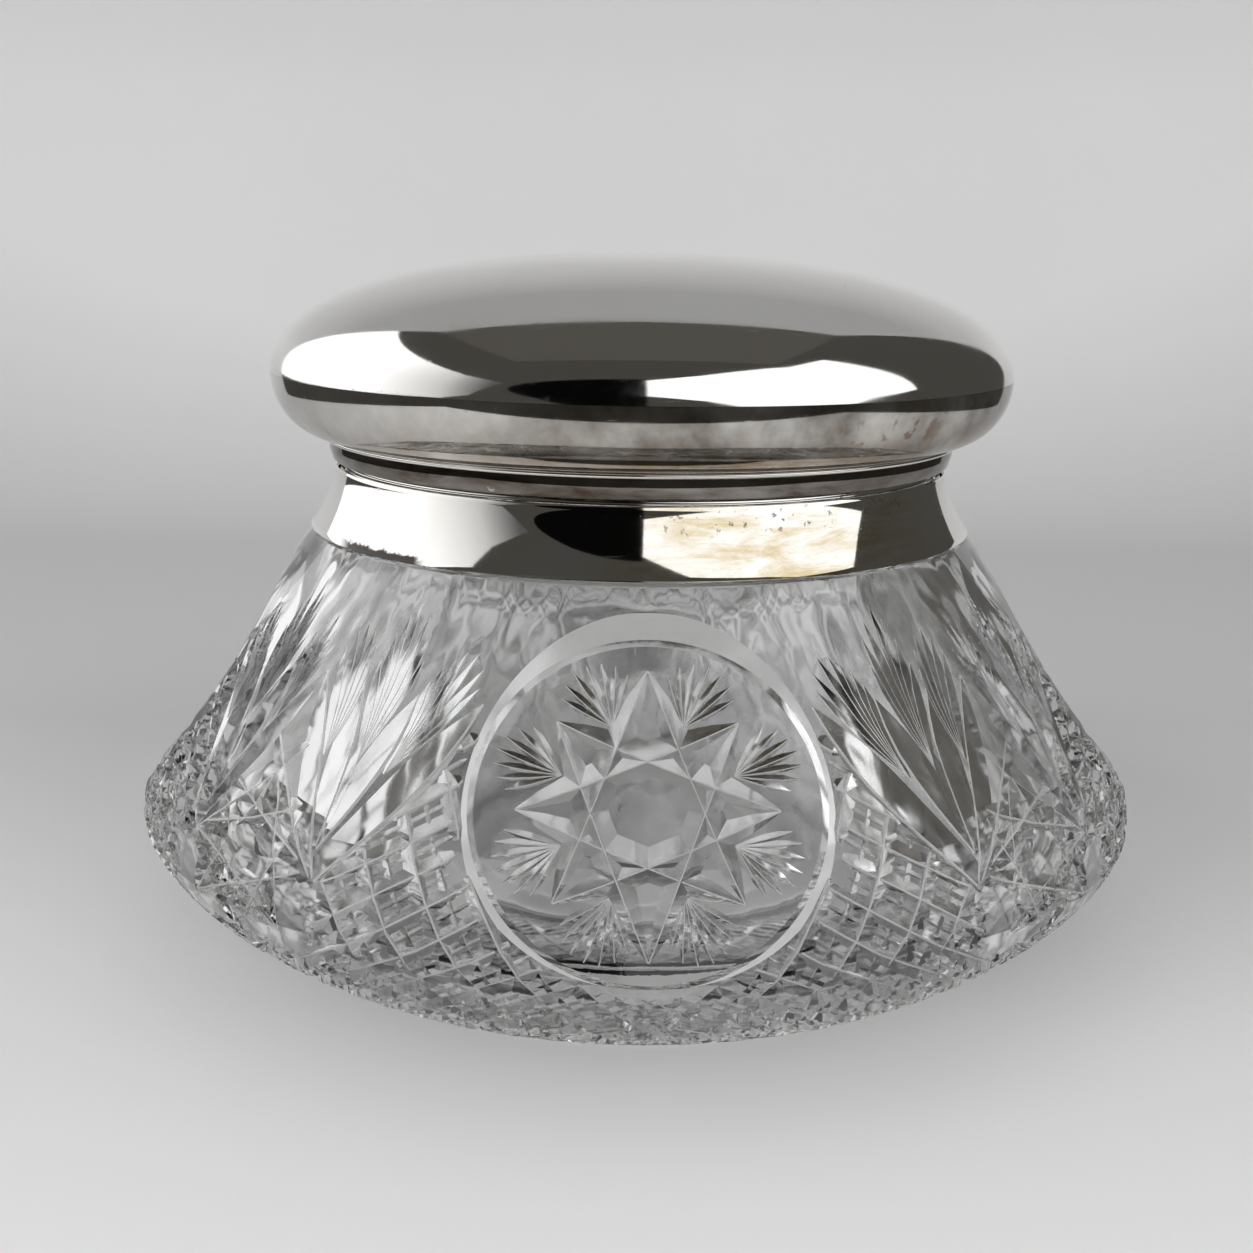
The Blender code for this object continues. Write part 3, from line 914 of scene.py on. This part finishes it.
CLEAN_SILVER = (0.90, 0.89, 0.87, 1.0)
WARM_SILVER = (0.76, 0.70, 0.62, 1.0)
BROWN_TARNISH = (0.40, 0.31, 0.23, 1.0)
DARK_TARNISH = (0.06, 0.05, 0.045, 1.0)
# Dark film colour of the lid's underside: partly tarnish, partly painted shade.
TARNISH_AND_SHADE_FILM = (0.135, 0.115, 0.090, 1.0)
BROWN_FILM = (0.058, 0.038, 0.023, 1.0)


def silver(name, haze, warmth, extra=None):
    """Polished silver: patchy warm tarnish, polishing lines, fine scratches and small dark pits."""
    nodes = Nodes(name)
    nodes.give("Metallic", 1.0)
    patches = nodes.band(nodes.noise(55.0, 6.0, 0.6, 0.4), 0.42, 0.75)
    colour = nodes.blend(nodes.times(patches, warmth), CLEAN_SILVER, WARM_SILVER)
    lines_a = nodes.noise(1.0, 3.0, 0.6, 0.0, nodes.stretch((60.0, 1500.0, 1500.0), (0.0, 8.0, 24.0)))
    lines_b = nodes.noise(1.0, 3.0, 0.6, 0.0, nodes.stretch((1300.0, 70.0, 1300.0), (6.0, 0.0, -31.0)))
    scratches = nodes.maths("MAXIMUM", nodes.band(lines_a, 0.66, 0.72), nodes.band(lines_b, 0.68, 0.74))
    pits = nodes.band(nodes.spots(210.0), 0.07, 0.03)
    rare = nodes.band(nodes.noise(95.0, 2.0), 0.60, 0.66)
    pits = nodes.times(pits, rare)
    colour = nodes.blend(nodes.times(pits, 0.8), colour, DARK_TARNISH)
    if extra:
        colour = extra(nodes, colour)
    nodes.give("Base Color", colour)
    cloud = nodes.band(nodes.noise(120.0, 5.0, 0.65), 0.35, 0.8, 0.0, haze)
    rough = nodes.maths("ADD", nodes.times(scratches, 0.10), cloud)
    rough = nodes.maths("ADD", rough, nodes.times(pits, 0.3))
    nodes.give("Roughness", nodes.maths("ADD", rough, 0.035))
    wave = nodes.bump(nodes.noise(70.0, 2.0, 0.4), 0.10, 0.0004)
    grain = nodes.bump(nodes.noise(1600.0, 2.0, 0.5), 0.035, 0.00002, wave)
    fine = nodes.bump(scratches, 0.08, 0.00002, grain)
    nodes.give("Normal", fine)
    return nodes.material


def collar_tarnish(nodes, colour):
    """Straw-coloured stain on the front, dark pits in it, and ragged corrosion on the lower left edge."""
    across = nodes.axis("X")
    height = nodes.axis("Z")
    front = nodes.band(nodes.axis("Y"), -0.012, -0.026)
    stain = nodes.times(window_of(nodes, across, 0.006, 0.024, 0.014), front)
    streaks = nodes.noise(1.0, 6.0, 0.7, 0.3, nodes.stretch((90.0, 90.0, 420.0)))
    stain_mix = nodes.times(stain, nodes.band(streaks, 0.40, 0.62))
    colour = nodes.blend(nodes.times(stain_mix, 0.90), colour, (0.60, 0.49, 0.27, 1.0))
    spots = nodes.noise(900.0, 3.0, 0.6)
    upper = window_of(nodes, height, 0.0656, 0.0672, 0.0012)
    specks = nodes.times(nodes.band(spots, 0.60, 0.66), nodes.times(upper, stain))
    colour = nodes.blend(nodes.times(specks, 0.75), colour, DARK_TARNISH)
    left = nodes.times(window_of(nodes, across, -0.0385, -0.0290, 0.0015), front)
    ragged = nodes.maths("ADD", height, nodes.times(nodes.noise(520.0, 4.0, 0.7), -0.0022))
    corroded = nodes.times(left, nodes.band(ragged, 0.0596, 0.0593))
    return nodes.blend(corroded, colour, DARK_TARNISH)


def underside_tarnish_and_shade(nodes, colour):
    """Dark film that is partly tarnish and partly painted shade for the shaded table that the underside
    mirrors, heavier towards positive X; brown tarnish that gathers towards the joint with the band, and a
    few brown spots.
    """
    height = nodes.axis("Z")
    low = nodes.band(height, 0.0790, 0.0735)
    cloud = nodes.band(nodes.noise(130.0, 6.0, 0.65, 0.5), 0.36, 0.68)
    across = nodes.axis("X")
    # Painted shade mixed with tarnish: a dark film, heavier towards positive X, stands for the shaded table
    # that the underside mirrors.
    film = nodes.band(across, -0.036, 0.000, 0.32, 0.95)
    patchy = nodes.band(nodes.noise(70.0, 5.0, 0.6), 0.25, 0.60)
    colour = nodes.blend(nodes.times(film, patchy), colour, TARNISH_AND_SHADE_FILM)
    colour = nodes.blend(nodes.times(low, cloud, 0.75), colour, BROWN_TARNISH)
    beside = window_of(nodes, across, 0.024, 0.034, 0.003)
    between = window_of(nodes, height, 0.0764, 0.0784, 0.001)
    place = nodes.times(beside, between, nodes.band(nodes.axis("Y"), 0.0, -0.01))
    spots = nodes.band(nodes.noise(420.0, 2.0), 0.54, 0.62)
    return nodes.blend(nodes.times(spots, place, 0.8), colour, (0.22, 0.14, 0.10, 1.0))


def band_tarnish(nodes, colour):
    """Brown film with pale rings where drops have dried."""
    cloud = nodes.band(nodes.noise(1.0, 5.0, 0.6, 0.4, nodes.stretch((85.0, 85.0, 320.0))), 0.38, 0.66)
    colour = nodes.blend(nodes.band(cloud, 0.0, 1.0, 0.72, 0.98), colour, BROWN_FILM)
    drops = nodes.spots(240.0)
    ring = nodes.times(nodes.band(drops, 0.06, 0.10), nodes.band(drops, 0.16, 0.12))
    rare = nodes.band(nodes.noise(110.0, 1.0), 0.56, 0.60)
    return nodes.blend(nodes.times(ring, rare, 0.6), colour, (0.85, 0.80, 0.72, 1.0))


def gilt():
    nodes = Nodes("worn_gilt")
    nodes.give("Metallic", 1.0)
    worn = nodes.band(nodes.noise(160.0, 6.0, 0.65), 0.45, 0.62)
    colour = nodes.blend(worn, (0.83, 0.64, 0.32, 1.0), (0.78, 0.73, 0.64, 1.0))
    nodes.give("Base Color", colour)
    nodes.give("Roughness", nodes.band(nodes.noise(300.0, 4.0), 0.3, 0.7, 0.12, 0.30))
    nodes.give("Normal", nodes.bump(nodes.noise(900.0, 3.0), 0.1, 0.00004))
    return nodes.material


def plaster():
    nodes = Nodes("old_plaster")
    grain = nodes.noise(700.0, 6.0, 0.7)
    colour = nodes.blend(grain, (0.50, 0.46, 0.40, 1.0), (0.72, 0.69, 0.62, 1.0))
    nodes.give("Base Color", colour)
    nodes.give("Roughness", nodes.band(grain, 0.2, 0.8, 0.75, 0.95))
    nodes.give("Normal", nodes.bump(grain, 0.6, 0.0002))
    return nodes.material


def lead_glass(name, clear):
    """Nodes of lead crystal: clear with a breath of grey, and specks of dust."""
    nodes = Nodes(name)
    dust = nodes.band(nodes.noise(1500.0, 2.0, 0.5), 0.70, 0.78)
    film = nodes.band(nodes.noise(60.0, 4.0, 0.6), 0.3, 0.8)
    colour = nodes.blend(film, (0.985, 0.988, 0.985, 1.0), (0.955, 0.962, 0.958, 1.0))
    colour = nodes.blend(nodes.times(dust, 0.25), colour, (0.70, 0.69, 0.66, 1.0))
    nodes.give("Base Color", colour)
    nodes.give("Transmission Weight", clear)
    nodes.give("IOR", 1.545)
    return nodes


def crystal(name, ripple, scale, roughness=0.012, clear=1.0):
    """One finish of the bowl's outer side or cuts, with a fine ripple or grain."""
    nodes = lead_glass(name, clear)
    nodes.give("Roughness", roughness)
    waves = nodes.noise(1.0, 3.0, 0.5, 0.0, nodes.stretch((scale, scale, scale)))
    nodes.give("Normal", nodes.bump(waves, ripple, 0.0003))
    return nodes.material


def crystal_inside():
    """Inner side of the bowl: upright blowing ripples above, dulled by powder and wiping below."""
    nodes = lead_glass("crystal_inside", 1.0)
    nodes.give("Roughness", nodes.band(nodes.axis("Z"), 0.043, 0.052, 0.125, 0.07))
    ripples = nodes.noise(1.0, 0.5, 0.5, 0.0, nodes.stretch((270.0, 270.0, 24.0)))
    nodes.give("Normal", nodes.bump(ripples, 0.70, 0.0003))
    return nodes.material


# ---------------- stage, light and camera
def hide_from(thing, *rays):
    for ray in rays:
        setattr(thing, "visible_" + ray, False)


def glow(name, strength, colour=(1.0, 1.0, 1.0, 1.0)):
    """Plain glowing card material for reflectors and flags."""
    material = bpy.data.materials.new(name)
    material.use_nodes = True
    tree = material.node_tree
    tree.nodes.clear()
    light = tree.nodes.new("ShaderNodeEmission")
    light.inputs["Color"].default_value = colour
    light.inputs["Strength"].default_value = strength
    tree.links.new(light.outputs[0], tree.nodes.new("ShaderNodeOutputMaterial").inputs["Surface"])
    material.cycles.emission_sampling = "NONE"
    return material


def graded_glow(name, value, low, high, near, far):
    """Glow that goes from the near to the far strength as a value goes from low to high."""
    nodes = Nodes(name, glow(name, near))
    strength = nodes.band(value(nodes), low, high, near, far)
    nodes.join(strength, nodes.tree.nodes["Emission"].inputs["Strength"])
    return nodes.material


def front_corner(nodes):
    return nodes.maths("SUBTRACT", nodes.axis("X"), nodes.axis("Y"))


def from_middle(nodes):
    node = nodes.tree.nodes.new("ShaderNodeVectorMath")
    node.operation = "LENGTH"
    nodes.join(nodes.place, node.inputs[0])
    return node.outputs["Value"]


def card(name, corners, mirrored_light, glass_light):
    """Flat card, once for what the silver mirrors and once for what the glass shows."""
    looks = (("_mirrored", mirrored_light, "transmission"), ("_in_glass", glass_light, "glossy"))
    for ending, material, other_rays in looks:
        shape = bmesh.new()
        shape.faces.new([shape.verts.new(corner) for corner in corners])
        mesh = shape_mesh(name + ending, shape)
        mesh.materials.append(material)
        thing = new_object(name + ending, mesh)
        hide_from(thing, "camera", "diffuse", "shadow", other_rays)


DUSK = (1.0, 0.95, 0.85, 1.0)


def build_room():
    """Dim room round the open sides of the table, with a window on the left and one on the right."""
    side, front, back, top = 0.285, -0.19, 0.266, 0.60
    dim = glow("dim_room", 0.060, DUSK), glow("dim_room_in_glass", 0.10, DUSK)
    ceiling = glow("dim_ceiling", 0.085, DUSK), glow("dim_ceiling_in_glass", 0.16, DUSK)
    black = glow("black_flag", 0.002), glow("black_flag_in_glass", 0.02)
    bright = glow("window_light", 1.25), glow("window_light_in_glass", 1.35)
    walls = (
        ("room_front", (-side, front), (side, front)),
        ("room_left", (-side, front), (-side, back)),
        ("room_right", (side, front), (side, back)),
    )
    for name, start, end in walls:
        card(name, [(*start, 0.0), (*end, 0.0), (*end, top), (*start, top)], *dim)
    outline = [(-side, front, top), (side, front, top), (side, back, top), (-side, back, top)]
    card("room_top", outline, *ceiling)
    fading = (
        graded_glow("fading_window", front_corner, -0.24, 0.02, 1.25, 0.10),
        graded_glow("fading_window_in_glass", front_corner, -0.24, 0.02, 0.98, 0.10),
    )
    near = 0.004
    left = -side + near
    outline = [(left, back, 0.062), (left, front, 0.070), (left, front, 0.28), (left, back, 0.46)]
    card("window_left", outline, *fading)
    ahead = front + near
    outline = [(-side, ahead, 0.070), (-0.20, ahead, 0.085), (-0.15, ahead, 0.17), (-side, ahead, 0.28)]
    card("window_left_front", outline, *fading)
    outline = [
        (0.0, ahead, 0.105), (0.10, ahead, 0.066),
        (side, ahead, 0.060), (side, ahead, 0.50),
        (0.20, ahead, 0.42), (0.056, ahead, 0.243),
        (0.0, ahead, 0.193),
    ]
    card("window_right_front", outline, *bright)
    right = side - near
    outline = [(right, front, 0.06), (right, -0.055, 0.11), (right, -0.055, 0.47), (right, front, 0.50)]
    card("window_right", outline, *bright)
    outline = []
    for index in range(25):
        angle = math.pi * (index / 24 - 0.5)
        outline.append((-0.135 * math.cos(angle), ahead, 0.134 + 0.070 * math.sin(angle)))
    card("photographer", outline, *black)


def build_shade():
    """Shade that lies under the belly, seen only through the glass, which casts no shadow of its own."""
    shade = graded_glow("belly_shade", from_middle, 0.052, 0.074, 0.07, 0.42)
    profile = [(0.0455, 0.0005), (0.060, 0.0005), (0.075, 0.0005)]
    ring = turned("belly_shade", profile, shade, steps=96, closed=False)
    hide_from(ring, "camera", "diffuse", "shadow", "glossy")


def build_cyclorama():
    """Pale paper floor that sweeps up into walls all round, with painted shade that makes it darker higher
    up the walls and behind the jar.
    """
    floor_radius, cove, wall_height = 0.34, 0.30, 1.30
    profile = [(0.0, 0.0), (0.10, 0.0), (0.20, 0.0), (floor_radius, 0.0)]
    for index in range(1, 17):
        angle = math.pi / 2.0 * index / 16
        profile.append((floor_radius + cove * math.sin(angle), cove * (1.0 - math.cos(angle))))
    profile.append((floor_radius + cove, wall_height))
    nodes = Nodes("pale_paper")
    grain = nodes.noise(900.0, 4.0, 0.6)
    cloud = nodes.noise(5.0, 3.0, 0.5)
    colour = nodes.blend(cloud, (0.81, 0.81, 0.81, 1.0), (0.86, 0.86, 0.86, 1.0))
    # Painted shade: the paper is painted darker higher up the walls.
    high = nodes.band(nodes.axis("Z"), 0.16, 0.55)
    colour = nodes.blend(high, colour, (0.45, 0.45, 0.45, 1.0))
    # Painted shade: a darker band is painted on the paper behind the jar.
    behind = window_of(nodes, nodes.axis("Y"), 0.10, 0.30, 0.20)
    colour = nodes.blend(behind, colour, (0.55, 0.55, 0.55, 1.0))
    nodes.give("Base Color", colour)
    nodes.give("Roughness", 0.75)
    nodes.give("Normal", nodes.bump(grain, 0.05, 0.0002))
    turned("paper_sweep", profile, nodes.material, steps=96, closed=False, sharp=80.0)


def soft_light(name, place, target, size, power):
    """Disc lamp that lights surfaces and is not itself seen, mirrored or refracted."""
    lamp = bpy.data.lights.new(name, "AREA")
    lamp.shape = "DISK"
    lamp.size = size
    lamp.energy = power
    thing = new_object(name, lamp)
    thing.location = place
    thing.rotation_euler = (Vector(target) - Vector(place)).to_track_quat("-Z", "Y").to_euler()
    hide_from(thing, "camera", "glossy", "transmission")


def build_lights():
    world = bpy.data.worlds.new("room_air")
    bpy.context.scene.world = world
    world.use_nodes = True
    background = world.node_tree.nodes["Background"]
    background.inputs["Color"].default_value = (1.0, 1.0, 1.0, 1.0)
    background.inputs["Strength"].default_value = 0.30
    behind_jar = (0.0, 0.1, 0.05)
    soft_light("ceiling_bounce", (0.0, -0.05, 1.25), (0.0, 0.0, 0.0), 1.0, 3.45)
    soft_light("left_window", (-0.50, -0.30, 0.55), behind_jar, 0.5, 2.6)
    soft_light("right_window", (0.42, -0.42, 0.50), behind_jar, 0.4, 1.5)


def build_camera():
    """Camera a little above the lid, with a slight roll."""
    yaw, pitch, roll = math.radians(1.124), math.radians(13.118), math.radians(0.780)
    forward = Vector((math.sin(yaw) * math.cos(pitch), math.cos(yaw) * math.cos(pitch), -math.sin(pitch)))
    level = Vector((math.cos(yaw), -math.sin(yaw), 0.0))
    above = level.cross(forward)
    right = level * math.cos(roll) + above * math.sin(roll)
    up = above * math.cos(roll) - level * math.sin(roll)
    data = bpy.data.cameras.new("camera")
    data.sensor_width = 36.0
    data.lens = 49.76
    data.clip_start = 0.005
    camera = new_object("camera", data)
    placed = Matrix((right, up, -forward)).transposed().to_4x4()
    placed.translation = (-0.00652, -0.24894, 0.10145)
    camera.matrix_world = placed
    bpy.context.scene.camera = camera


# ---------------- assembly
def place_piece(piece, body, node):
    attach(piece, body)
    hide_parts(node)


def build_jar():
    outside = crystal("crystal_polished", 0.04, 180.0)
    cuts = crystal("crystal_cuts", 0.03, 900.0)
    inside = crystal_inside()
    lines = crystal("crystal_unpolished", 0.5, 1800.0, 0.45, 0.70)
    ground = crystal("crystal_ground", 0.3, 700.0, 0.40, 0.45)
    bowl = whole_bowl(cut_wedge([outside, cuts, inside, lines, ground]))
    ripple_inside(bowl.data)
    hide_from(bowl, "shadow")
    place_piece(bowl, "jar", "glass_bowl")
    collar = build_collar(silver("collar_silver", 0.05, 0.35, collar_tarnish))
    place_piece(collar, "jar", "collar_band")
    place_piece(build_seat(silver("seat_silver", 0.10, 0.50)), "jar", "collar_rim")
    bpy.data.objects["plaster_bed"].material_slots[0].material = plaster()


def build_lid():
    underside = silver("underside_silver", 0.08, 0.5, underside_tarnish_and_shade)
    pieces = (
        (build_dome, silver("dome_silver", 0.11, 0.30), "lid_dome", "silver_dome"),
        (build_underside, underside, "lid_underside", "silver_underside"),
        (build_band, silver("band_silver", 0.10, 0.6, band_tarnish), "lid_band", "silver_band"),
        (build_fillet, silver("solder_silver", 0.06, 0.4), "lid_fillet", "silver_solder"),
        (build_bezel, gilt(), "lid_bezel", "silver_gilt"),
    )
    for build, material, node, slot in pieces:
        place_piece(build(material), "lid", node)


bpy.context.scene.view_settings.view_transform = "Standard"
build_camera()
build_lights()
build_cyclorama()
build_room()
build_shade()
build_jar()
build_lid()

bpy.context.view_layer.update()
